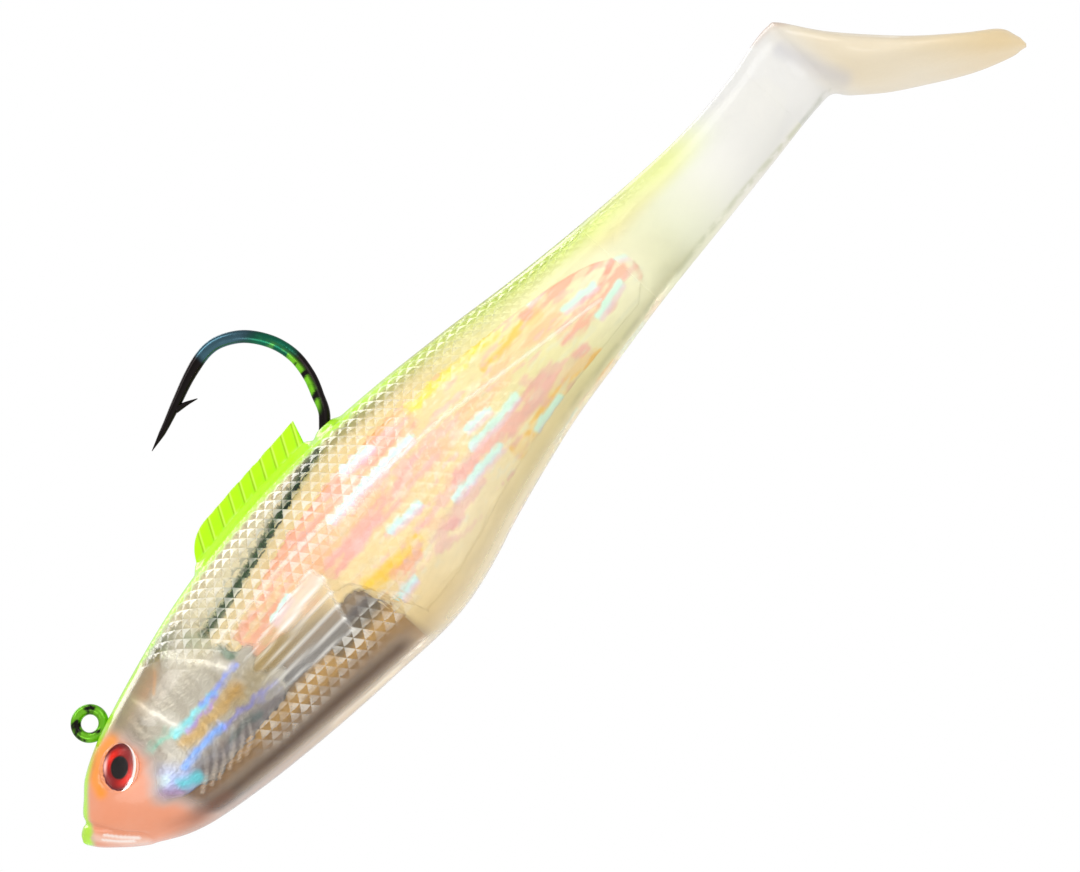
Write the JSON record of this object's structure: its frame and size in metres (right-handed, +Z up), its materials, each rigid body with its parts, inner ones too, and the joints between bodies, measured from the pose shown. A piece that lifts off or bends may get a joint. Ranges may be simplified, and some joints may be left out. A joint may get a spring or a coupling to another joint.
{
  "type": "swimbait",
  "caption": "Soft-bodied fishing lure shaped like a small fish, with a lead jig head and one upturned hook inside it and a paddle tail that kicks as it is retrieved.",
  "frame": {"origin": "centre of the line tie, the eye of the hook on top of the head", "axes": "+X from the head to the tail, +Z up through the back, +Y to the fish's right"},
  "size_m": [0.129, 0.0162, 0.0428],
  "materials": {
    "clear_soft_plastic": "clear soft plastic, yellow-green along the back, with pressed scales",
    "pearl_soft_plastic": "milky soft plastic",
    "fin_soft_plastic": "yellow-green soft plastic",
    "tail_soft_plastic": "milky, half clear soft plastic",
    "lead": "bare cast lead",
    "hook_steel": "black nickel plate",
    "silver_film": "creased metallised film",
    "flash_film": "pastel colour-shifting film",
    "eye_print": "red metallic print with a black pupil",
    "eye_lens": "clear domed resin"
  },
  "bodies": {
    "head_and_trunk": {"body_skin": "clear_soft_plastic", "body_core": "pearl_soft_plastic", "lead_head": "lead", "jig_hook": "hook_steel", "head_wrap": "silver_film", "flash_film_left": "flash_film", "flash_film_right": "flash_film", "eye_disc_left": "eye_print", "eye_disc_right": "eye_print", "eye_lens_left": "eye_lens", "eye_lens_right": "eye_lens"},
    "stem": {"tail_stem": "clear_soft_plastic", "stem_core": "pearl_soft_plastic"},
    "paddle": {"tail_paddle": "tail_soft_plastic"},
    "fin": {"dorsal_fin": "fin_soft_plastic"}
  },
  "joints": [
    {"name": "tail_swing", "type": "hinge", "parent": "head_and_trunk", "child": "stem", "pos_m": [0.0795, 0, -0.0076], "axis": [0, 0, 1], "range_deg": [-30, 30], "stiffness_Nm_per_rad": 0.01},
    {"name": "paddle_kick", "type": "hinge", "parent": "stem", "child": "paddle", "pos_m": [0.097, 0, -0.0076], "axis": [0, 0, 1], "range_deg": [-35, 35], "stiffness_Nm_per_rad": 0.004},
    {"name": "dorsal_fin_fold", "type": "hinge", "parent": "head_and_trunk", "child": "fin", "pos_m": [0.0276, 0, 0.00375], "axis": [1, 0, 0], "range_deg": [-60, 60], "stiffness_Nm_per_rad": 0.0002}
  ]
}
